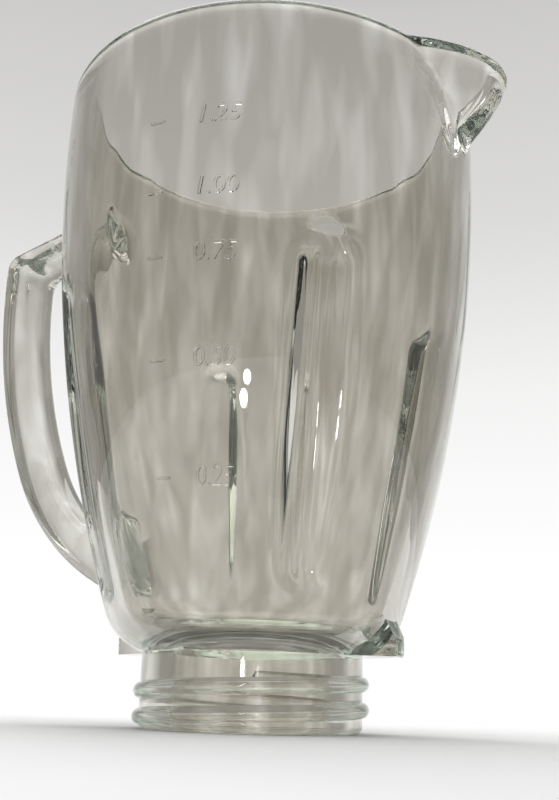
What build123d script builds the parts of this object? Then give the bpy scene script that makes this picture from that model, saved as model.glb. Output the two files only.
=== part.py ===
import os
from math import acos, asin, atan2, cos, degrees, radians, sin, sqrt, tan

from build123d import *

# Driving dimensions in millimetres and degrees: a drop is below the rim, a stand is out from the body
# Origin at the centre of the neck's foot, +Z up, spout along +X and handle along -X
jar_height = 203
wall = 6.2

# Body: one long arc, widest a little below the rim, and a tight shoulder arc that runs on to the neck
belly_radius = 69
belly_drop = 22
belly_arc = 467
shoulder_height = 33
shoulder_arc = 18

# Neck and its coarse right-hand thread, a round bead that stands out of the neck
neck_radius = 33
neck_wall = 9
thread_pitch = 7.2
thread_bead = 2.3
thread_stand = 2
thread_start = 3.2
thread_turns = 1.75
thread_azimuth = 200

# Flutes pressed into the wall, deeper towards their top ends
flute_count = 4
flute_azimuth = 43
flute_radius = 3.6
flute_low = 41.5
flute_high = 124
flute_low_depth = 2.4
flute_high_depth = 5

# Spout: a pointed lip at the rim that narrows to a keel and runs out in the wall below
spout_stand = 14.6
spout_nose = 21
keel_drop = 10
keel_stand = 11.8
keel_nose = 8
channel_nose = 5
spout_drop = 23

# Handle: a sloping arm on top, then a grip of two arcs, the lower one tighter
handle_width = 17
arm_drop = 34.7
arm_slope = 16.5
arm_depth = 9.5
grip_stand = 40
grip_drop = 46
grip_arc = 183
grip_bend_height = 82.6
grip_foot_height = 39.5
grip_depth = 12.8

# Lugs below the shoulder, in line with spout and handle: wide at the neck, narrow at the tip
lug_count = 2
lug_stand = 2.4
lug_width = 30
lug_tip = 6
lug_end = 4.8
lug_rise = 11

# Rounded edges
rim_edge = 2.2
foot_edge = 2.2
bore_edge = 0.8
floor_edge = 2
spout_fillet = 2.5
channel_fillet = 2.5
handle_edge = 4.2
handle_corner = 4.5
finger_corner = 9
joint_fillet = 6
flute_edge = 9
rib_fillet = 4
lug_edge = 1

bore_radius = neck_radius - neck_wall

# The shoulder arc touches the belly arc, so its centre lies on the line to the belly arc's centre
belly_height = jar_height - belly_drop
belly_centre = belly_radius - belly_arc
shoulder_turn = asin((belly_height - shoulder_height) / belly_arc)
shoulder_x = belly_centre + (belly_arc - shoulder_arc) * cos(shoulder_turn)
shoulder_z = belly_height - (belly_arc - shoulder_arc) * sin(shoulder_turn)


def wall_radius(z):
    return belly_centre + sqrt(belly_arc**2 - (z - belly_height) ** 2)


def shoulder_level(radius, inset):
    return shoulder_z - sqrt((shoulder_arc - inset) ** 2 - (radius - shoulder_x) ** 2)


# The grip's lower arc touches the upper one at the bend and ends on the wall at the foot
grip_height = jar_height - grip_drop
grip_x = grip_arc - belly_radius - grip_stand
grip_bend = asin((grip_height - grip_bend_height) / grip_arc)
bend_to_foot_x = grip_arc * cos(grip_bend) - grip_x - wall_radius(grip_foot_height)
bend_to_foot_z = grip_foot_height - grip_bend_height
bend_to_foot = bend_to_foot_x * cos(grip_bend) + bend_to_foot_z * sin(grip_bend)
grip_foot_arc = (bend_to_foot_x**2 + bend_to_foot_z**2) / (2 * bend_to_foot)
grip_foot_x = grip_x - (grip_arc - grip_foot_arc) * cos(grip_bend)
grip_foot_z = grip_height - (grip_arc - grip_foot_arc) * sin(grip_bend)


def body_profile(inset, neck):
    rim_turn = asin((jar_height - belly_height) / (belly_arc - inset))
    neck_turn = atan2(shoulder_level(neck, inset) - shoulder_z, neck - shoulder_x)
    with BuildSketch(Plane.XZ) as profile:
        with BuildLine():
            belly = CenterArc(
                (belly_centre, belly_height),
                belly_arc - inset,
                -degrees(shoulder_turn),
                degrees(rim_turn + shoulder_turn),
            )
            shoulder = CenterArc(
                (shoulder_x, shoulder_z),
                shoulder_arc - inset,
                -degrees(shoulder_turn),
                degrees(neck_turn + shoulder_turn),
            )
            Polyline(shoulder @ 1, (neck, 0), (0, 0), (0, jar_height), belly @ 1)
        make_face()
    return profile.sketch


def spout_section(drop, reach, nose):
    # A parabola with the nose's radius at its tip, closed well inside the jar
    root_y = sqrt(2 * nose * (reach - neck_radius))
    with BuildSketch(Plane.XY.offset(jar_height - drop)) as section:
        with BuildLine():
            Bezier((neck_radius, root_y), (2 * reach - neck_radius, 0), (neck_radius, -root_y))
            Line((neck_radius, -root_y), (neck_radius, root_y))
        make_face()
    return section.sketch


def spout_sections(inset, keel):
    lift = (spout_drop - inset) / spout_drop
    foot_reach = wall_radius(jar_height - spout_drop) - inset
    return [
        spout_section(0, belly_radius + spout_stand - inset, spout_nose - inset),
        spout_section(keel_drop * lift, belly_radius + keel_stand - inset, keel),
        spout_section(spout_drop * lift + keel, foot_reach - keel, keel),
    ]


def flute_tool(radius):
    low = (wall_radius(flute_low) - flute_low_depth + flute_radius, 0, flute_low)
    high = (wall_radius(flute_high) - flute_high_depth + flute_radius, 0, flute_high)
    with BuildPart() as tool:
        with BuildLine() as path:
            axis = Line(low, high)
        with BuildSketch(Plane(origin=axis @ 0, z_dir=axis % 0)):
            Circle(radius)
        sweep(path=path.line)
        with Locations(axis @ 0, axis @ 1):
            Sphere(radius)
    return tool.part


def handle_side(inset, drop, corner):
    # The arm's upper line, lowered by drop, runs out to the grip's arc, drawn in by inset
    grip = grip_arc - inset
    foot = grip_foot_arc - inset
    slope = radians(arm_slope)
    arm_rise = grip_drop - arm_drop
    end_x = -sqrt(grip_arc**2 - arm_rise**2) + drop * sin(slope)
    end_z = arm_rise - drop * cos(slope)
    along = end_x * cos(slope) + end_z * sin(slope)
    step = -along - sqrt(along**2 - end_x**2 - end_z**2 + grip**2)
    corner_x = end_x + step * cos(slope)
    corner_z = end_z + step * sin(slope)
    corner_turn = degrees(atan2(corner_z, corner_x))
    bend_turn = 180 + degrees(grip_bend)
    foot_turn = 180 + degrees(acos((neck_radius + grip_foot_x) / foot))
    top_z = grip_height + corner_z - (neck_radius + grip_x + corner_x) * tan(slope)
    with BuildSketch(Plane.XZ) as side:
        with BuildLine():
            upper = CenterArc((grip_x, grip_height), grip, corner_turn, bend_turn - corner_turn)
            lower = CenterArc((grip_foot_x, grip_foot_z), foot, bend_turn, foot_turn - bend_turn)
            Polyline(lower @ 1, (-neck_radius, top_z), upper @ 0)
        make_face()
        fillet(side.vertices().sort_by(Axis.X)[0], corner)
    return side.sketch


with BuildPart() as handle:
    extrude(handle_side(0, 0, handle_corner), amount=handle_width / 2, both=True)
    extrude(
        handle_side(grip_depth, arm_depth, finger_corner),
        amount=handle_width / 2,
        both=True,
        mode=Mode.SUBTRACT,
    )
    fillet(handle.faces().filter_by(Axis.Y).edges(), handle_edge)

with BuildPart() as spout:
    loft(spout_sections(0, keel_nose))

with BuildPart() as channel:
    loft(spout_sections(wall, channel_nose))

with BuildPart() as lug:
    lug_level = shoulder_level(neck_radius, 0)
    lug_root = wall_radius(lug_level + lug_rise)
    with BuildSketch(Plane.XZ):
        with BuildLine():
            Polyline(
                (bore_radius, lug_level),
                (lug_root + lug_stand, lug_level),
                (lug_root + lug_stand, lug_level + lug_end),
                (lug_root - lug_edge, lug_level + lug_rise),
                (bore_radius, lug_level + lug_rise),
                close=True,
            )
        make_face()
    extrude(amount=lug_width / 2, both=True)
    with BuildSketch(Plane.XY.offset(lug_level)):
        with BuildLine():
            Polyline(
                (bore_radius, -lug_width / 2),
                (lug_root + lug_stand, -lug_tip / 2),
                (lug_root + lug_stand, lug_tip / 2),
                (bore_radius, lug_width / 2),
                close=True,
            )
        make_face()
    extrude(amount=lug_rise, mode=Mode.INTERSECT)
    fillet(lug.faces().sort_by(Axis.X)[-1].edges(), lug_edge)

with BuildPart() as thread:
    with BuildLine() as lead:
        turn = Helix(
            thread_pitch,
            thread_pitch * thread_turns,
            neck_radius + thread_stand - thread_bead,
            (0, 0, thread_start),
        )
    with BuildSketch(Plane(origin=turn @ 0, z_dir=turn % 0)):
        Circle(thread_bead)
    sweep(path=lead.line, is_frenet=True)
    with Locations(turn @ 0, turn @ 1):
        Sphere(thread_bead)

groove = flute_tool(flute_radius)
rib = flute_tool(flute_radius + wall)

with BuildPart() as cavity:
    revolve(body_profile(wall, bore_radius), axis=Axis.Z)
    rings = cavity.edges().filter_by(GeomType.CIRCLE).filter_by(lambda edge: edge.is_closed)
    fillet(rings.group_by(SortBy.RADIUS)[0].sort_by(Axis.Z)[-1], floor_edge)
    add(channel.part)
    fillet(cavity.edges(Select.NEW).filter_by(Plane.XY, reverse=True), channel_fillet)
    with PolarLocations(0, flute_count, start_angle=flute_azimuth):
        add(rib, mode=Mode.SUBTRACT)
    fillet(cavity.edges(Select.NEW), rib_fillet)

with BuildPart() as jar:
    revolve(body_profile(0, neck_radius), axis=Axis.Z)
    fillet(jar.faces().sort_by(Axis.Z)[0].edges(), foot_edge)
    add(spout.part)
    fillet(jar.edges(Select.NEW).filter_by(Plane.XY, reverse=True), spout_fillet)
    add(handle.part)
    fillet(jar.edges(Select.NEW), joint_fillet)
    with PolarLocations(0, flute_count, start_angle=flute_azimuth):
        add(groove, mode=Mode.SUBTRACT)
    fillet(jar.edges(Select.NEW), flute_edge)
    with PolarLocations(0, lug_count):
        add(lug.part)
    add(thread.part, rotation=(0, 0, thread_azimuth))
    add(cavity.part, mode=Mode.SUBTRACT)
    fillet(jar.faces().sort_by(Axis.Z)[-1].edges(), rim_edge)
    fillet(jar.faces().sort_by(Axis.Z)[0].inner_wires().edges(), bore_edge)

os.makedirs("parts", exist_ok=True)
jar.part.label = "jar"
export_step(jar.part, "parts/jar.step")
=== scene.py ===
import math

import bmesh
import bpy
from mathutils import Matrix, Vector


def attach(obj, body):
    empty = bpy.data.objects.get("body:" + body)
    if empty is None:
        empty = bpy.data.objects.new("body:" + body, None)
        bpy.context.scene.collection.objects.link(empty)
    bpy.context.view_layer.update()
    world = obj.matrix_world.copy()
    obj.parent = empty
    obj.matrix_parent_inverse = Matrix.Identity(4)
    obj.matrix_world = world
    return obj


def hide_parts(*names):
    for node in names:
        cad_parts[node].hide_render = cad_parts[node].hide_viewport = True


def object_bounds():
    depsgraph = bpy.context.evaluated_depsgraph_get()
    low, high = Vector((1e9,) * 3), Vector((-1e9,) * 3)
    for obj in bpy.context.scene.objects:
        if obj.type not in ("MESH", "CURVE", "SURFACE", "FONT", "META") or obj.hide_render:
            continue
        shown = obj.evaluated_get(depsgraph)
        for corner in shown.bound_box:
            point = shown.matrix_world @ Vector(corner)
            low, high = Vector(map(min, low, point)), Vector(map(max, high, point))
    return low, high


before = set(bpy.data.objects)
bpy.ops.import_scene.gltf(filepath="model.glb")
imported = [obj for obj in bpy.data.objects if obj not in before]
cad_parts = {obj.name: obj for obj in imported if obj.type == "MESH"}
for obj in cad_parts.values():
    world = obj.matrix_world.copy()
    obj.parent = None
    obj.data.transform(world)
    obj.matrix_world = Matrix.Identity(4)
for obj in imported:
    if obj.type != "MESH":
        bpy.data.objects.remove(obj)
cadLow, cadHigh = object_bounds()
scene = bpy.context.scene
scene.view_settings.view_transform = "Standard"
print("frame loaded", [round(v, 4) for v in (*cadLow, *cadHigh)])


class Wire:  # a node socket that takes part in Python maths
    def __init__(self, tree, socket=None):
        self.tree = tree
        self.socket = socket

    def node(self, kind, settings=None, sockets=None, out=0):
        made = self.tree.nodes.new(kind)
        for name, value in (settings or {}).items():
            setattr(made, name, value)
        for name, value in (sockets or {}).items():
            if isinstance(value, Wire):
                self.tree.links.new(value.socket, made.inputs[name])
            else:
                made.inputs[name].default_value = value
        return Wire(self.tree, made.outputs[out])

    def maths(self, operation, *values):
        return self.node("ShaderNodeMath", {"operation": operation}, dict(enumerate(values)))

    def __add__(self, other):
        return self.maths("ADD", self, other)

    def __radd__(self, other):
        return self.maths("ADD", other, self)

    def __sub__(self, other):
        return self.maths("SUBTRACT", self, other)

    def __rsub__(self, other):
        return self.maths("SUBTRACT", other, self)

    def __mul__(self, other):
        return self.maths("MULTIPLY", self, other)

    def __rmul__(self, other):
        return self.maths("MULTIPLY", other, self)

    def __truediv__(self, other):
        return self.maths("DIVIDE", self, other)

    def __rtruediv__(self, other):
        return self.maths("DIVIDE", other, self)

    def root(self):
        return self.maths("SQRT", self)

    def sine(self):
        return self.maths("SINE", self)

    def cosine(self):
        return self.maths("COSINE", self)

    def above(self, limit):  # 1 past the limit, else 0
        return self.maths("GREATER_THAN", self, limit)

    def clip(self, low, high):
        return self.maths("MINIMUM", self.maths("MAXIMUM", self, low), high)

    def axes(self, names):  # the named parts of a vector
        return [self.node("ShaderNodeSeparateXYZ", None, {0: self}, name) for name in names]

    def vector(self, x=0, y=0, z=0):
        return self.node("ShaderNodeCombineXYZ", None, {0: x, 1: y, 2: z})


def newTree(name, inputs):
    tree = bpy.data.node_groups.new(name, "GeometryNodeTree")
    tree.interface.new_socket("Geometry", in_out="INPUT", socket_type="NodeSocketGeometry")
    tree.interface.new_socket("Geometry", in_out="OUTPUT", socket_type="NodeSocketGeometry")
    for label, kind in inputs.items():
        tree.interface.new_socket(label, in_out="INPUT", socket_type="NodeSocket" + kind)
    source = tree.nodes.new("NodeGroupInput")
    return {label: Wire(tree, source.outputs[label]) for label in ("Geometry", *inputs)}


def closeTree(shape, material):
    shape = shape.node("GeometryNodeRealizeInstances", None, {0: shape})
    shape = shape.node("GeometryNodeSetMaterial", None, {"Geometry": shape, "Material": material})
    output = shape.tree.nodes.new("NodeGroupOutput")
    shape.tree.links.new(shape.socket, output.inputs["Geometry"])
    return shape.tree


def joined(*shapes):
    tree = shapes[0].tree
    join = tree.nodes.new("GeometryNodeJoinGeometry")
    for shape in shapes:
        tree.links.new(shape.socket, join.inputs[0])
    return Wire(tree, join.outputs[0])


def welded(shape, distance):
    return shape.node("GeometryNodeMergeByDistance", None, {"Geometry": shape, "Distance": distance})


def plainMesh(piece):  # the piece's mesh with its modifier applied, which then comes off
    shown = piece.evaluated_get(bpy.context.evaluated_depsgraph_get())
    mesh = bpy.data.meshes.new_from_object(shown)
    piece.modifiers.clear()
    return mesh


def runTree(tree, mesh, values):
    carrier = bpy.data.objects.new(tree.name, mesh)
    scene.collection.objects.link(carrier)
    modifier = carrier.modifiers.new(tree.name, "NODES")
    modifier.node_group = tree
    for item in tree.interface.items_tree:
        if item.in_out == "INPUT" and item.name in values:
            modifier[item.identifier] = values[item.name]
    shaped = plainMesh(carrier)
    bpy.data.objects.remove(carrier)
    print(tree.name, len(shaped.polygons), "faces")
    return shaped


# Sizes in metres. The jar stands on its neck, the spout is along +X and the handle along -X.
mm = 0.001
jar = {
    "height": cadHigh.z,
    "bellyRadius": cadHigh.y,
    "bellyDrop": 22 * mm,
    "bellyArc": 467 * mm,
    "wall": 6.2 * mm,
    "shoulderHeight": 33 * mm,
    "shoulderArc": 18 * mm,
    "neckRadius": 33 * mm,
    "boreRadius": 24 * mm,
    "rimEdge": 2.2 * mm,
    "footEdge": 2.2 * mm,
    "boreEdge": 0.8 * mm,
    "floorEdge": 2 * mm,
    "sharpAngle": math.radians(38),
    "turnSteps": 344,  # from here on, how fine the mesh is
    "gather": 0.45,  # how far the steps draw together at the spout, the handle and the flutes
    "gatherSpots": 8,
    "footSteps": 5,
    "neckStep": 1.3 * mm,
    "shoulderSteps": 14,
    "levelSteps": (1.6 * mm, 2.6 * mm, 1.3 * mm, 2.4 * mm),  # zone by zone up the wall
    "rimSteps": 6,
    "bowlSteps": 10,
    "floorSteps": 6,
    "boreStep": 2 * mm,
    "boreEdgeSteps": 4,
}
bellyHeight = jar["height"] - jar["bellyDrop"]
bellyCentre = jar["bellyRadius"] - jar["bellyArc"]
shoulderTurn = math.asin((bellyHeight - jar["shoulderHeight"]) / jar["bellyArc"])
shoulderX = bellyCentre + (jar["bellyArc"] - jar["shoulderArc"]) * math.cos(shoulderTurn)
shoulderZ = bellyHeight - (jar["bellyArc"] - jar["shoulderArc"]) * math.sin(shoulderTurn)


def wallRadius(z, inset=0):
    return bellyCentre + math.sqrt((jar["bellyArc"] - inset) ** 2 - (z - bellyHeight) ** 2)


def shoulderLevel(radius):
    return shoulderZ - math.sqrt(jar["shoulderArc"] ** 2 - (radius - shoulderX) ** 2)


def arc(centre, radius, start, end, steps):
    turns = [start + (end - start) * i / steps for i in range(steps + 1)]
    return [(centre[0] + radius * math.cos(t), centre[1] + radius * math.sin(t)) for t in turns]


def spread(start, end, step):  # even steps, without the end itself
    count = max(1, round(abs(end - start) / step))
    return [start + (end - start) * i / count for i in range(count)]


flute = {
    "count": 4,
    "azimuth": math.radians(43),
    "radius": 3.6 * mm,
    "low": 41.5 * mm,
    "high": 124 * mm,
    "lowDepth": 2.4 * mm,
    "highDepth": 5 * mm,
    "edge": 9 * mm,
    "ribEdge": 4 * mm,
    "lowZone": 8 * mm,  # how far the finer mesh steps reach from the flute's ends
    "topZone": 6 * mm,
    "aboveZone": 16 * mm,
    "rounds": 3,  # passes that settle its depth
}
spout = {
    "stand": 14.6 * mm,
    "nose": 21 * mm,
    "keelDrop": 10 * mm,
    "keelStand": 11.8 * mm,
    "keelNose": 8 * mm,
    "channelNose": 5 * mm,
    "drop": 23 * mm,
    "edge": 2.5 * mm,
    "sideCosine": 0.3,  # the spout is looked for only in front of this
    "fallOff": 3,
}
ripple = {  # the slight waves inside pressed glass
    "depth": 0.16 * mm,
    "around": 5.0,
    "along": 16.0,
    "noise": {"Scale": 1.0, "Detail": 1.0, "Roughness": 0.4},
    "start": 40 * mm,
    "fadeIn": 30 * mm,
    "rimGap": 8 * mm,
    "fadeOut": 20 * mm,
}


def wallLevels(low, high):
    marks = [low, flute["low"] + flute["lowZone"], flute["high"] - flute["topZone"]]
    marks += [flute["high"] + flute["aboveZone"], high]
    levels = []
    for start, end, step in zip(marks, marks[1:], jar["levelSteps"]):
        levels += spread(start, end, step)
    return levels + [high]


def wallLoop():  # the wall's section as one closed loop, with each point's side (0 outside, 1 inside)
    top, edge, wall = jar["height"], jar["rimEdge"], jar["wall"]
    neck, foot = jar["neckRadius"], jar["footEdge"]
    shoulder, bowl = jar["shoulderArc"], jar["shoulderArc"] - wall
    shoulderSpot = (shoulderX, shoulderZ)
    quarter = math.pi / 2
    neckTurn = math.atan2(shoulderLevel(neck) - shoulderZ, neck - shoulderX)
    outBelly = shoulderZ - shoulder * math.sin(shoulderTurn)
    inBelly = shoulderZ - bowl * math.sin(shoulderTurn)
    rimOut = wallRadius(top - edge)
    rimIn = wallRadius(top - edge, wall)
    outer = arc((neck - foot, foot), foot, -quarter, 0, jar["footSteps"])
    outer += [(neck, z) for z in spread(foot, shoulderLevel(neck), jar["neckStep"])[1:]]
    outer += arc(shoulderSpot, shoulder, neckTurn, -shoulderTurn, jar["shoulderSteps"])[:-1]
    outer += [(wallRadius(z), z) for z in wallLevels(outBelly, top - edge)[:-1]]
    outer += arc((rimOut - edge, top - edge), edge, 0, quarter, jar["rimSteps"])
    inner = arc((rimIn + edge, top - edge), edge, quarter, 2 * quarter, jar["rimSteps"])[:-1]
    inner += [(wallRadius(z, wall), z) for z in reversed(wallLevels(inBelly, top - edge))]
    bore, boreEdge, floorEdge = jar["boreRadius"], jar["boreEdge"], jar["floorEdge"]
    floorX = bore + floorEdge
    sag = math.acos((floorX - shoulderX) / (bowl + floorEdge))
    floorZ = shoulderZ - (bowl + floorEdge) * math.sin(sag)
    inner += arc(shoulderSpot, bowl, -shoulderTurn, -sag, jar["bowlSteps"])[1:]
    inner += arc((floorX, floorZ), floorEdge, math.pi - sag, 2 * quarter, jar["floorSteps"])[1:]
    inner += [(bore, z) for z in spread(floorZ, boreEdge, jar["boreStep"])[1:]]
    inner += arc((bore + boreEdge, boreEdge), boreEdge, 2 * quarter, 3 * quarter, jar["boreEdgeSteps"])
    loop = [(r, 0, z) for r, z in outer + inner]
    mesh = bpy.data.meshes.new("wallLoop")
    mesh.from_pydata(loop, [(i, (i + 1) % len(loop)) for i in range(len(loop))], [])
    sides = [0.0] * len(outer) + [1.0] * len(inner)
    edges = []  # how far the rim is rounded off at each point
    for (r, _, z), side in zip(loop, sides):
        full = rimIn if side else rimOut
        edges.append(full - r if z > top - edge else 0.0)
    mesh.attributes.new("side", "FLOAT", "POINT").data.foreach_set("value", sides)
    mesh.attributes.new("edge", "FLOAT", "POINT").data.foreach_set("value", edges)
    return mesh


def parabola(levels, values):  # coefficients of the curve through three points
    (a, b, c), (p, q, r) = levels, values
    second = ((r - q) / (c - b) - (q - p) / (b - a)) / (c - a)
    first = (q - p) / (b - a) - second * (a + b)
    return p - first * a - second * a * a, first, second


def along(z, coefficients):
    base, first, second = coefficients
    return (z * second + first) * z + base


def spoutRadius(z, cosine, sine, inset, keel):  # where a ray from the axis meets the spout's parabola
    lift = (spout["drop"] - inset) / spout["drop"]
    foot = spout["drop"] * lift + keel
    levels = [jar["height"] - d for d in (0, spout["keelDrop"] * lift, foot)]
    reaches = [jar["bellyRadius"] + stand - inset for stand in (spout["stand"], spout["keelStand"])]
    reaches.append(wallRadius(jar["height"] - spout["drop"]) - inset - keel)
    noses = [spout["nose"] - inset, keel, keel]
    roots = [math.sqrt(2 * n * (r - jar["neckRadius"])) for n, r in zip(noses, reaches)]
    level = z.clip(levels[2], levels[0])
    reach = along(level, parabola(levels, reaches))
    root = along(level, parabola(levels, roots))
    nose = root * root / (2 * (reach - jar["neckRadius"]))
    front = cosine.above(spout["sideCosine"])
    ray = 2 * reach / (cosine + (cosine * cosine + 2 * sine * sine * reach / nose).root())
    return ray * front - spout["fallOff"] * (levels[2] - z).clip(0, 1)  # runs out below the keel's foot


def fluteDepth(z, turn, start, inset, edge):  # how far the rounded groove lies below the wall
    low = wallRadius(flute["low"]) - flute["lowDepth"] + flute["radius"]
    high = wallRadius(flute["high"]) - flute["highDepth"] + flute["radius"]
    rise = flute["high"] - flute["low"]
    bend = wallRadius(flute["low"] + rise / 2, inset)
    radius = flute["radius"] + inset
    tight = radius * bend / (bend + radius)  # both radii as if the wall were unrolled
    wide = edge * bend / (bend - edge)
    share = ((z - flute["low"]) / rise).clip(0, 1)
    over = z - flute["low"] - share * rise
    above = low + share * (high - low) - start - radius + tight
    reach = ((tight + wide) ** 2 - (wide + above) * (wide + above)).clip(0, 1).root()
    meet = reach * tight / (tight + wide)
    sine = turn.sine()
    depth = 0
    for _ in range(flute["rounds"]):
        aside = (start - depth) * sine
        off = (aside * aside + over * over).root()
        groove = (tight ** 2 - off * off).clip(0, 1).root() - above
        left = (reach - off).clip(0, 1)
        rounding = wide - (wide ** 2 - left * left).clip(0, 1).root()
        depth = groove + off.above(meet) * (rounding - groove)
    return depth


def jarWallTree():
    io = newTree("jarWall", {"Turn Steps": "Int", "Ripple": "Float", "Material": "Material"})
    make = io["Geometry"].node

    def store(shape, name, value):
        sockets = {"Geometry": shape, "Name": name, "Value": value}
        return make("GeometryNodeStoreNamedAttribute", {"data_type": "FLOAT", "domain": "POINT"}, sockets)

    def read(name):
        return make("GeometryNodeInputNamedAttribute", {"data_type": "FLOAT"}, {"Name": name})

    place = make("GeometryNodeInputPosition")
    reach, level = place.axes("XZ")
    loop = store(store(io["Geometry"], "reach", reach), "level", level)
    loop = make("GeometryNodeMeshToCurve", None, {"Mesh": loop})
    circle = {"Resolution": io["Turn Steps"], "Radius": jar["bellyRadius"]}
    ring = make("GeometryNodeCurvePrimitiveCircle", None, circle)
    ring = store(ring, "step", make("GeometryNodeSplineParameter", None, None, "Index"))
    shell = make("GeometryNodeCurveToMesh", None, {"Curve": ring, "Profile Curve": loop})

    even = read("step") / io["Turn Steps"] * math.tau
    spots = jar["gatherSpots"]
    turn = even - jar["gather"] / spots * (spots * even).sine()
    z, side, edge = read("level"), read("side"), read("edge")
    r = read("reach") + edge
    cosine, sine = turn.cosine(), turn.sine()
    gap = math.tau / flute["count"]
    nearest = turn.maths("WRAP", turn - flute["azimuth"], gap / 2, -gap / 2)  # from the nearest flute
    wall = jar["wall"]

    lip = spoutRadius(z, cosine, sine, 0, spout["keelNose"])
    lip = r.maths("SMOOTH_MAX", r, lip, spout["edge"])
    outer = lip - fluteDepth(z, nearest, r, 0, flute["edge"])
    channel = spoutRadius(z, cosine, sine, wall, spout["channelNose"])
    channel = r.maths("SMOOTH_MAX", r, channel, spout["edge"])
    spot = place.vector(cosine * ripple["around"], sine * ripple["around"], z * ripple["along"])
    waves = make("ShaderNodeTexNoise", None, {"Vector": spot} | ripple["noise"])
    fadeIn = ((z - ripple["start"]) / ripple["fadeIn"]).clip(0, 1)
    fadeOut = ((jar["height"] - ripple["rimGap"] - z) / ripple["fadeOut"]).clip(0, 1)
    channel = channel + (waves - 0.5) * 2 * io["Ripple"] * (fadeIn * fadeOut)
    inner = channel - fluteDepth(z, nearest, r, wall, flute["ribEdge"])
    radius = outer + side * (inner - outer) - edge
    spot = place.vector(radius * cosine, radius * sine, z)
    shell = make("GeometryNodeSetPosition", None, {"Geometry": shell, "Position": spot})
    shell = make("GeometryNodeFlipFaces", None, {"Mesh": shell})
    return closeTree(shell, io["Material"])


handle = {
    "reach": -cadLow.x,
    "width": 17 * mm,
    "armDrop": 34.7 * mm,
    "armSlope": math.radians(16.5),
    "armDepth": 9.5 * mm,
    "gripDrop": 46 * mm,
    "gripArc": 183 * mm,
    "gripDepth": 12.8 * mm,
    "bendHeight": 82.6 * mm,
    "footHeight": 39.5 * mm,
    "edge": 4.2 * mm,
    "corner": 4.5 * mm,
    "fingerCorner": 9 * mm,
    "joint": 6 * mm,
    "sink": 3 * mm,
    "armSteps": 26,
    "cornerSteps": 10,
    "gripSteps": 40,
    "footSteps": 44,
    "edgeSteps": 5,
    "rootRounds": 12,  # passes that find where arm and foot meet the wall
    "footRounds": 40,
    "footSearch": 1.6 * math.pi,  # the grip's lower arc meets the wall before this turn
}


def handleSide(inset, drop, corner):  # one edge of the handle in its own plane, from arm to foot
    slope, sink = handle["armSlope"], handle["sink"]
    gripZ = jar["height"] - handle["gripDrop"]
    gripX = handle["gripArc"] - handle["reach"]
    bend = math.asin((gripZ - handle["bendHeight"]) / handle["gripArc"])
    toFootX = handle["gripArc"] * math.cos(bend) - gripX - wallRadius(handle["footHeight"])
    toFoot = Vector((toFootX, handle["footHeight"] - handle["bendHeight"]))
    footArc = toFoot.length_squared / (2 * toFoot.dot(Vector((math.cos(bend), math.sin(bend)))))
    footX = gripX - (handle["gripArc"] - footArc) * math.cos(bend)
    footZ = gripZ - (handle["gripArc"] - footArc) * math.sin(bend)

    def armCorner(inside, below):  # where the arm's lowered line meets the grip's arc
        rise = handle["gripDrop"] - handle["armDrop"]
        endX = -math.sqrt(handle["gripArc"] ** 2 - rise ** 2) + below * math.sin(slope)
        endZ = rise - below * math.cos(slope)
        dot = endX * math.cos(slope) + endZ * math.sin(slope)
        step = -dot - math.sqrt(dot ** 2 - endX ** 2 - endZ ** 2 + (handle["gripArc"] - inside) ** 2)
        return endX + step * math.cos(slope), endZ + step * math.sin(slope)

    turnX, turnZ = armCorner(inset + corner, drop + corner)
    turnEnd = math.atan2(turnZ, turnX) % math.tau
    turnX, turnZ = turnX + gripX, turnZ + gripZ
    armX, armZ = turnX - corner * math.sin(slope), turnZ + corner * math.cos(slope)
    rootX = armX
    for _ in range(handle["rootRounds"]):
        rootX = sink - wallRadius(armZ + (rootX - armX) * math.tan(slope))
    rootZ = armZ + (rootX - armX) * math.tan(slope)
    low, high = math.pi + bend, handle["footSearch"]
    for _ in range(handle["footRounds"]):
        middle = (low + high) / 2
        x = footX + (footArc - inset) * math.cos(middle)
        z = footZ + (footArc - inset) * math.sin(middle)
        low, high = (middle, high) if -x > wallRadius(z) - sink else (low, middle)
    steps = handle["armSteps"]
    edge = []
    for i in range(steps):
        edge.append((rootX + (armX - rootX) * i / steps, rootZ + (armZ - rootZ) * i / steps))
    gripArc = handle["gripArc"] - inset
    edge += arc((turnX, turnZ), corner, math.pi / 2 + slope, turnEnd, handle["cornerSteps"])[:-1]
    edge += arc((gripX, gripZ), gripArc, turnEnd, math.pi + bend, handle["gripSteps"])[:-1]
    edge += arc((footX, footZ), footArc - inset, math.pi + bend, low, handle["footSteps"])
    return [Vector((x, 0, z)) for x, z in edge]


def roundedBox(steps):  # unit corner directions and the way each one faces
    turns = [math.pi / 2 * i / steps for i in range(steps + 1)]
    sides = []
    for k in range(4):
        spot = (1 if k in (0, 3) else -1, 1 if k in (0, 1) else -1)
        sides += [(spot, (math.cos(t + k * math.pi / 2), math.sin(t + k * math.pi / 2))) for t in turns]
    return sides


def flare(point, facing):  # spreads a point near the wall along it, as a fillet there does
    reach, ball = math.hypot(point.x, point.y), handle["joint"]
    lean = (bellyHeight - point.z) / (wallRadius(point.z) - bellyCentre)
    wallFacing = Vector((point.x / reach, point.y / reach, -lean)).normalized()
    gap = reach - wallRadius(point.z)
    meet = math.pi - math.acos(facing.dot(wallFacing))  # the angle between the two surfaces
    high = min(max(gap * wallFacing.xy.length, 0), ball * (1 + math.cos(meet)))
    rounding = math.sqrt(max(2 * ball * high - high ** 2, 0))
    spreads = ball / math.tan(meet / 2) - rounding - high / math.tan(meet)
    moved = point + (facing - wallFacing * facing.dot(wallFacing)).normalized() * spreads
    keep = (wallRadius(moved.z) + gap) / math.hypot(moved.x, moved.y) if spreads > 0 else 1
    return moved.x * keep, moved.y * keep, moved.z


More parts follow.
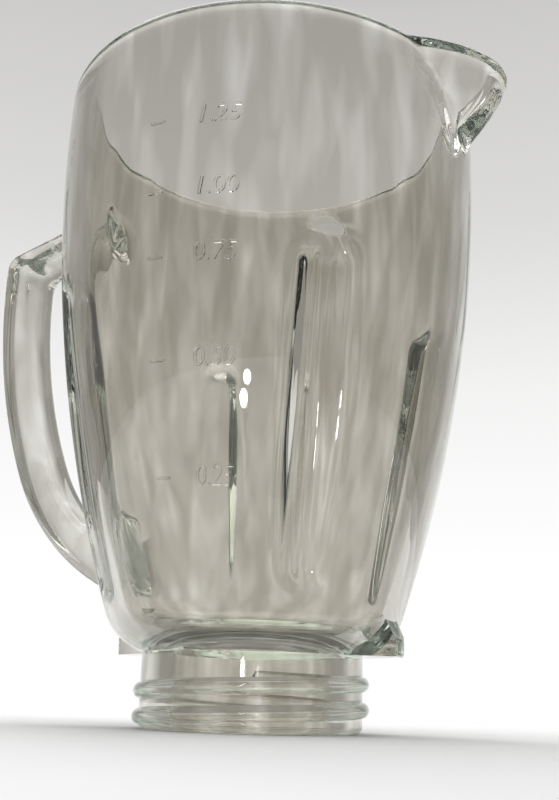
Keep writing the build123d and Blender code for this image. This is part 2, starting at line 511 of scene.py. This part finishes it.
def edgeFacing(edge, i, away):  # the way that an edge curve faces in the handle's plane
    run = edge[min(i + 1, len(edge) - 1)] - edge[max(i - 1, 0)]
    facing = Vector((-run.z, 0, run.x)).normalized()
    return facing if facing.dot(away) > 0 else -facing


def toMesh(made, name):
    bmesh.ops.recalc_face_normals(made, faces=made.faces)
    mesh = bpy.data.meshes.new(name)
    made.to_mesh(mesh)
    made.free()
    print(name, len(mesh.polygons), "faces")
    return mesh


def handleMesh():
    outer = handleSide(0, 0, handle["corner"])
    inner = handleSide(handle["gripDepth"], handle["armDepth"], handle["fingerCorner"])
    across, edge = handle["width"] / 2, handle["edge"]
    made = bmesh.new()
    rings = []
    for i, (far, near) in enumerate(zip(outer, inner)):
        depth = (far - near).length / 2
        outward = (far - near).normalized()
        farFacing, nearFacing = edgeFacing(outer, i, outward), edgeFacing(inner, i, -outward)
        ring = []
        for spot, turn in roundedBox(handle["edgeSteps"]):
            deep = spot[0] * (depth - edge) + turn[0] * edge
            wide = spot[1] * (across - edge) + turn[1] * edge
            point = (far + near) / 2 + outward * deep + Vector((0, wide, 0))
            facing = (farFacing if spot[0] > 0 else nearFacing) * abs(turn[0]) + Vector((0, turn[1], 0))
            ring.append(made.verts.new(flare(point, facing.normalized())))
        rings.append(ring)
    for a, b in zip(rings, rings[1:]):
        for i in range(len(a)):
            made.faces.new((a[i], a[i - 1], b[i - 1], b[i]))
    made.faces.new(rings[0])
    made.faces.new(rings[-1][::-1])
    return toMesh(made, "handle")


lug = {
    "count": 2,
    "stand": 2.4 * mm,
    "width": 30 * mm,
    "tip": 6 * mm,
    "end": 4.8 * mm,
    "rise": 11 * mm,
    "topRoot": 17 * mm,  # from the bore out to where the top begins, within the glass
    "edge": 1 * mm,
    "edgeSteps": 4,
    "tolerance": 0.1 * mm,
}


def lugMesh():
    level = shoulderLevel(jar["neckRadius"])
    top = level + lug["rise"]
    root = wallRadius(top)
    inside, tip = jar["boreRadius"], root + lug["stand"]
    outline = [(inside, level), (tip, level), (tip, level + lug["end"])]
    outline += [(root - lug["edge"], top), (inside + lug["topRoot"], top)]
    made = bmesh.new()
    sides = []
    for hand in (-1, 1):
        side = []
        for x, z in outline:
            half = lug["width"] / 2 + (lug["tip"] - lug["width"]) / 2 * (x - inside) / (tip - inside)
            side.append(made.verts.new((x, hand * half, z)))
        made.faces.new(side)
        sides.append(side)
    for i in range(len(outline)):
        made.faces.new((sides[0][i - 1], sides[0][i], sides[1][i], sides[1][i - 1]))
    edges = [e for e in made.edges if all(v.co.x > tip - lug["tolerance"] for v in e.verts)]
    bevel = {"offset": lug["edge"], "segments": lug["edgeSteps"], "profile": 0.5, "affect": "EDGES"}
    bmesh.ops.bevel(made, geom=edges, **bevel)
    return toMesh(made, "lug")


def lugPairTree():
    io = newTree("lugPair", {"Count": "Int", "Material": "Material"})
    make = io["Geometry"].node
    points = make("GeometryNodeMeshLine", None, {"Count": io["Count"], "Offset": (0, 0, 0)})
    turn = points.vector(z=make("GeometryNodeInputIndex") * math.tau / io["Count"])
    copies = {"Points": points, "Instance": io["Geometry"], "Rotation": turn}
    lugs = make("GeometryNodeInstanceOnPoints", None, copies)
    return closeTree(lugs, io["Material"])


thread = {
    "pitch": 7.2 * mm,
    "bead": 2.3 * mm,
    "stand": 2 * mm,
    "start": 3.2 * mm,
    "turns": 1.75,
    "azimuth": math.radians(200),
    "steps": 150,
    "sectionSteps": 16,
    "leastEnd": 0.0004,  # keeps the bead's ends from closing to a point
    "weld": 0.01 * mm,
}


def threadTree():
    sizes = {label: "Float" for label in ("Pitch", "Bead", "Radius", "Turns")}
    io = newTree("neckThread", sizes | {"Steps": "Int", "Material": "Material"})
    make = io["Geometry"].node
    runOut = io["Bead"] / (math.tau * io["Radius"])  # the bead's round ends, as a share of a turn
    turns = io["Turns"] + 2 * runOut
    lead = {"Resolution": io["Steps"], "Rotations": turns, "Height": turns * io["Pitch"], "Reverse": True}
    lead |= {"Start Radius": io["Radius"], "End Radius": io["Radius"]}
    helix = make("GeometryNodeCurveSpiral", None, lead)
    reach = make("GeometryNodeSplineParameter", None, None, "Factor")
    gap = reach.maths("MINIMUM", reach, 1 - reach) * turns / runOut
    left = 1 - gap.clip(0, 1)
    width = (1 - left * left).clip(thread["leastEnd"], 1).root()
    helix = make("GeometryNodeSetCurveRadius", None, {"Curve": helix, "Radius": width})
    circle = {"Resolution": thread["sectionSteps"], "Radius": io["Bead"]}
    section = make("GeometryNodeCurvePrimitiveCircle", None, circle)
    sweep = {"Curve": helix, "Profile Curve": section, "Fill Caps": True}
    sweep["Scale"] = make("GeometryNodeInputRadius")
    bead = make("GeometryNodeCurveToMesh", None, sweep)
    return closeTree(welded(bead, thread["weld"]), io["Material"])


def threadMesh(material):
    sizes = {"Pitch": thread["pitch"], "Bead": thread["bead"], "Turns": thread["turns"]}
    sizes |= {"Steps": thread["steps"], "Material": material}
    sizes["Radius"] = jar["neckRadius"] + thread["stand"] - thread["bead"]
    bead = runTree(threadTree(), bpy.data.meshes.new("bead"), sizes)
    lift = Matrix.Translation((0, 0, thread["start"]))
    bead.transform(lift @ Matrix.Rotation(thread["azimuth"], 4, "Z"))
    return bead


scale = {
    "numbers": {
        "0.25": 64.6 * mm,
        "0.50": 95.5 * mm,
        "0.75": 124 * mm,
        "1.00": 142.9 * mm,
        "1.25": 164.5 * mm,
    },
    "azimuth": math.radians(-74.5),
    "tickAzimuth": math.radians(-90),
    "digitHeight": 7.7 * mm,
    "slant": 0.18,
    "tickLength": 4.5 * mm,
    "tickWidth": 0.6 * mm,
    "relief": 0.6 * mm,
    "sink": 0.6 * mm,
    "outlineWeld": 0.02 * mm,
    "weld": 0.01 * mm,
}


def scaleMarkTree():
    labels = ("Size", "Slant", "Level", "Azimuth", "Tick Azimuth", "Tick Length", "Tick Width")
    sizes = {label: "Float" for label in (*labels, "Relief", "Sink")}
    io = newTree("scaleMark", {"Number": "String"} | sizes | {"Material": "Material"})
    make = io["Geometry"].node
    middle = {"align_x": "CENTER", "align_y": "MIDDLE"}
    digits = make("GeometryNodeStringToCurves", middle, {"String": io["Number"], "Size": io["Size"]})
    digits = make("GeometryNodeRealizeInstances", None, {0: digits})
    place = make("GeometryNodeInputPosition")
    x, y = place.axes("XY")
    slanted = place.vector(x + y * io["Slant"], y)
    digits = make("GeometryNodeSetPosition", None, {"Geometry": digits, "Position": slanted})
    bar = {"Width": io["Tick Length"], "Height": io["Tick Width"]}
    tick = make("GeometryNodeCurvePrimitiveQuadrilateral", None, bar)
    away = place.vector((io["Tick Azimuth"] - io["Azimuth"]) * jar["bellyRadius"])
    tick = make("GeometryNodeTransform", None, {"Geometry": tick, "Translation": away})
    flat = make("GeometryNodeFillCurve", {"mode": "TRIANGLES"}, {0: joined(digits, tick)})
    flat = welded(flat, scale["outlineWeld"])
    raised = {"Mesh": flat, "Offset": (0, 0, 1), "Offset Scale": io["Relief"] + io["Sink"]}
    tall = make("GeometryNodeExtrudeMesh", {"mode": "FACES"}, raised | {"Individual": False})
    under = make("GeometryNodeFlipFaces", None, {"Mesh": flat})
    solid = welded(joined(tall, under), scale["weld"])
    x, y, lift = place.axes("XYZ")
    z = io["Level"] + y
    fall = z - bellyHeight
    radius = bellyCentre + (jar["bellyArc"] ** 2 - fall * fall).root() + lift - io["Sink"]
    turn = io["Azimuth"] + x / jar["bellyRadius"]
    spot = place.vector(radius * turn.cosine(), radius * turn.sine(), z)
    solid = make("GeometryNodeSetPosition", None, {"Geometry": solid, "Position": spot})
    return closeTree(solid, io["Material"])


def scaleMeshes(material):
    tree = scaleMarkTree()
    sizes = {"Size": scale["digitHeight"], "Slant": scale["slant"], "Azimuth": scale["azimuth"]}
    sizes |= {"Tick Azimuth": scale["tickAzimuth"], "Tick Length": scale["tickLength"]}
    sizes |= {"Tick Width": scale["tickWidth"], "Relief": scale["relief"], "Sink": scale["sink"]}
    meshes = []
    for number, level in scale["numbers"].items():
        mark = sizes | {"Number": number, "Level": level, "Material": material}
        meshes.append(runTree(tree, bpy.data.meshes.new("mark"), mark))
    return meshes


def unite(piece, mesh):  # joins one closed mesh on to the glass
    other = bpy.data.objects.new(mesh.name, mesh)
    scene.collection.objects.link(other)
    join = piece.modifiers.new(mesh.name, "BOOLEAN")
    join.operation = "UNION"
    join.solver = "MANIFOLD"
    join.object = other
    piece.data = plainMesh(piece)
    bpy.data.objects.remove(other)
    print("joined", mesh.name, len(piece.data.polygons), "faces")


glass = bpy.data.materials.new("clearGlass")
wallSizes = {"Turn Steps": jar["turnSteps"], "Ripple": ripple["depth"], "Material": glass}
body = bpy.data.objects.new("jarGlass", runTree(jarWallTree(), wallLoop(), wallSizes))
scene.collection.objects.link(body)
unite(body, handleMesh())
unite(body, runTree(lugPairTree(), lugMesh(), {"Count": lug["count"], "Material": glass}))
unite(body, threadMesh(glass))
for mark in scaleMeshes(glass):
    unite(body, mark)
body.data.name = "jarGlass"
body.data.shade_smooth()
body.data.set_sharp_from_angle(angle=jar["sharpAngle"])

finish = {
    "tint": (0.61, 0.59, 0.535, 1),
    # The next colour is painted light: a lighter glass colour, laid on in streaks, that stands in for
    # light refracted through the glass.
    "paintedLightTint": (0.90, 0.88, 0.84, 1),
    "streakScale": (125, 125, 27),  # drawn out in height
    "streakNoise": {"Scale": 1.0, "Detail": 1.0, "Roughness": 0.4, "Distortion": 0.3},
    "streakFrom": 0.48,
    "streakGain": 5,
    "streakBump": {"Strength": 0.03, "Distance": 1 * mm},
    "smudgeNoise": {"Scale": 38.0, "Detail": 4.0, "Roughness": 0.6},
    "smudgeFrom": 0.45,
    "smudge": 0.1,
    "depthColour": (0.38, 0.54, 0.45, 1),
    "depthDensity": 4.0,
    "ior": 1.5,
}


def clearGlass(material):
    material.use_nodes = True
    tree = material.node_tree
    tree.nodes.clear()
    make = Wire(tree).node
    place = make("ShaderNodeTexCoord", None, None, "Object")
    tall = make("ShaderNodeMapping", None, {"Vector": place, "Scale": finish["streakScale"]})
    streaks = make("ShaderNodeTexNoise", None, {"Vector": tall} | finish["streakNoise"])
    # Painted light: this mask mixes lighter streaks into the glass colour as painted refracted light. The
    # same noise also drives the real bump.
    light = ((streaks - finish["streakFrom"]) * finish["streakGain"]).clip(0, 1)
    tintAndPaintedLight = {0: light, 6: finish["tint"], 7: finish["paintedLightTint"]}
    tint = make("ShaderNodeMix", {"data_type": "RGBA"}, tintAndPaintedLight, 2)
    cloud = make("ShaderNodeTexNoise", None, {"Vector": place} | finish["smudgeNoise"])
    smudges = (cloud - finish["smudgeFrom"]).clip(0, 1) * finish["smudge"]
    bumps = make("ShaderNodeBump", None, {"Height": streaks} | finish["streakBump"])
    skin = {"Base Color": tint, "Roughness": smudges, "Normal": bumps}
    skin |= {"IOR": finish["ior"], "Transmission Weight": 1.0}
    surface = make("ShaderNodeBsdfPrincipled", None, skin)
    inside = {"Color": finish["depthColour"], "Density": finish["depthDensity"]}
    depth = make("ShaderNodeVolumeAbsorption", None, inside)
    output = tree.nodes.new("ShaderNodeOutputMaterial")
    tree.links.new(surface.socket, output.inputs["Surface"])
    tree.links.new(depth.socket, output.inputs["Volume"])


clearGlass(glass)
body.data.materials.clear()
body.data.materials.append(glass)
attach(body, "root")
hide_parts("jar")
print("glass ready", len(body.data.polygons), "faces")

stage = {
    "floorTone": 0.92,
    "floorGrain": {"Scale": 60.0, "Detail": 3.0},
    "floorGrainTone": 0.02,
    "floorSize": 6.0,
    "floorGap": 0.1 * mm,
    "floorFadeFrom": 0.14,
    "floorFadeTo": 0.42,
    "worldFill": 0.25,
    "backdrop": {0: 1, 0.14: 1, 0.3: 0.9, 0.45: 0.72, 0.62: 0.6, 0.72: 0.25, 1: 0.15},  # by sine of height
    "backdropWarmth": (1.0, 0.98, 0.95),
    "backdropHeading": math.radians(26.73),
    "backdropEdge": 0.95,  # cosine of the angle at which the walls beside it begin
    "backdropFade": 0.22,
    "roomTone": (0.44, 0.43, 0.41, 1),
    "bounces": 24,
}


def seenRays(make):  # 1 for what the camera sees, straight or by way of glass and gloss
    seen = make("ShaderNodeLightPath", None, None, "Is Camera Ray")
    for ray in ("Is Glossy Ray", "Is Transmission Ray"):
        seen = seen + make("ShaderNodeLightPath", None, None, ray)
    return seen.clip(0, 1)


def palePaper():
    material = bpy.data.materials.new("palePaper")
    material.use_nodes = True
    tree = material.node_tree
    tree.nodes.clear()
    make = Wire(tree).node
    place = make("ShaderNodeTexCoord", None, None, "Object")
    grain = make("ShaderNodeTexNoise", None, {"Vector": place} | stage["floorGrain"])
    tone, light = stage["floorTone"], stage["floorTone"] + stage["floorGrainTone"]
    tones = {0: grain, 6: (tone, tone, tone, 1), 7: (light, light, light, 1)}
    paper = make("ShaderNodeMix", {"data_type": "RGBA"}, tones, 2)
    surface = make("ShaderNodeBsdfDiffuse", None, {"Color": paper})
    away = make("ShaderNodeVectorMath", {"operation": "LENGTH"}, {0: place}, "Value")
    fade = (away - stage["floorFadeFrom"]) / (stage["floorFadeTo"] - stage["floorFadeFrom"])
    white = make("ShaderNodeEmission", None, {"Color": (1, 1, 1, 1), "Strength": 1.0})
    parts = {0: fade.clip(0, 1) * seenRays(make), 1: surface, 2: white}
    surface = make("ShaderNodeMixShader", None, parts)
    output = tree.nodes.new("ShaderNodeOutputMaterial")
    tree.links.new(surface.socket, output.inputs["Surface"])
    return material


def paleFloor():
    half, level = stage["floorSize"] / 2, cadLow.z - stage["floorGap"]
    corners = [(x * half, y * half, level) for x, y in ((-1, -1), (1, -1), (1, 1), (-1, 1))]
    mesh = bpy.data.meshes.new("floor")
    mesh.from_pydata(corners, [], [(0, 1, 2, 3)])
    mesh.materials.append(palePaper())
    floor = bpy.data.objects.new("floor", mesh)
    scene.collection.objects.link(floor)


def paleWorld():  # white behind the jar, greyer above, the same for the eye, the gloss and the glass
    world = bpy.data.worlds.new("studio")
    scene.world = world
    world.use_nodes = True
    tree = world.node_tree
    tree.nodes.clear()
    make = Wire(tree).node
    x, y, height = make("ShaderNodeTexCoord", None, None, "Generated").axes("XYZ")
    tones = make("ShaderNodeValToRGB", None, {"Fac": height})
    stops = tones.socket.node.color_ramp.elements
    while len(stops) < len(stage["backdrop"]):
        stops.new(0.5)
    for stop, (share, tone) in zip(stops, stage["backdrop"].items()):
        stop.position = share
        stop.color = [tone * (1 - (1 - tone) * (1 - warm)) for warm in stage["backdropWarmth"]] + [1]
    turn = stage["backdropHeading"]
    ahead = (y * math.cos(turn) - x * math.sin(turn)) / (x * x + y * y).root()
    beside = ((stage["backdropEdge"] - ahead) / stage["backdropFade"]).clip(0, 1)
    darken = {"data_type": "RGBA", "blend_type": "DARKEN"}
    tones = make("ShaderNodeMix", darken, {0: beside, 6: tones, 7: stage["roomTone"]}, 2)
    fill = make("ShaderNodeBackground", None, {"Color": (1, 1, 1, 1), "Strength": stage["worldFill"]})
    shown = make("ShaderNodeBackground", None, {"Color": tones, "Strength": 1.0})
    mixed = make("ShaderNodeMixShader", None, {0: seenRays(make), 1: fill, 2: shown})
    output = tree.nodes.new("ShaderNodeOutputWorld")
    tree.links.new(mixed.socket, output.inputs["Surface"])


lampAim = Vector((0, 0, 0.1))
lamps = {
    "softbox": {
        "place": (0, 0, 1.05),
        "size": (1.3, 1.3),
        "shape": "RECTANGLE",
        "power": 11.0,
        "mirrored": True,
    },
    "key": {
        "place": (-0.45, 0.40, 0.80),
        "size": (0.25, 0.25),
        "shape": "RECTANGLE",
        "power": 2.0,
        "mirrored": False,
    },
    "upperWindow": {
        "place": (0.184, -0.507, 0.056),
        "size": (0.036, 0.020),
        "shape": "ELLIPSE",
        "power": 0.085,
        "mirrored": True,
    },
    "lowerWindow": {
        "place": (0.168, -0.509, 0.028),
        "size": (0.036, 0.026),
        "shape": "ELLIPSE",
        "power": 0.105,
        "mirrored": True,
    },
}


def softLamps():
    for name, lamp in lamps.items():
        light = bpy.data.lights.new(name, "AREA")
        light.shape = lamp["shape"]
        light.size, light.size_y = lamp["size"]
        light.energy = lamp["power"]
        fixture = bpy.data.objects.new(name, light)
        fixture.visible_glossy = lamp["mirrored"]
        fixture.visible_transmission = lamp["mirrored"]
        fixture.location = lamp["place"]
        aim = lampAim - Vector(lamp["place"])
        fixture.rotation_euler = aim.to_track_quat("-Z", "Y").to_euler()
        scene.collection.objects.link(fixture)


view = {
    "place": (0.1439, -0.2729, 0.00793),
    "heading": math.radians(26.73),
    "pitch": math.radians(17.005),
    "roll": math.radians(1.72),
    "focal": 992.98,  # in pixels of an image 800 high
    "imageHeight": 800,
    "sensor": 36,
    "clip": (0.01, 50),
}


def photoCamera():
    lens = bpy.data.cameras.new("camera")
    lens.sensor_width = view["sensor"]
    lens.lens = view["focal"] * view["sensor"] / view["imageHeight"]
    lens.clip_start, lens.clip_end = view["clip"]
    camera = bpy.data.objects.new("camera", lens)
    upright = Matrix.Rotation(math.pi / 2 + view["pitch"], 4, "X")
    turn = Matrix.Rotation(view["heading"], 4, "Z") @ upright
    roll = Matrix.Rotation(view["roll"], 4, "Z")
    camera.matrix_world = Matrix.Translation(view["place"]) @ turn @ roll
    scene.collection.objects.link(camera)
    scene.camera = camera


paleFloor()
paleWorld()
softLamps()
photoCamera()
scene.cycles.max_bounces = stage["bounces"]
scene.cycles.glossy_bounces = stage["bounces"]
scene.cycles.transmission_bounces = stage["bounces"]
print("stage ready")
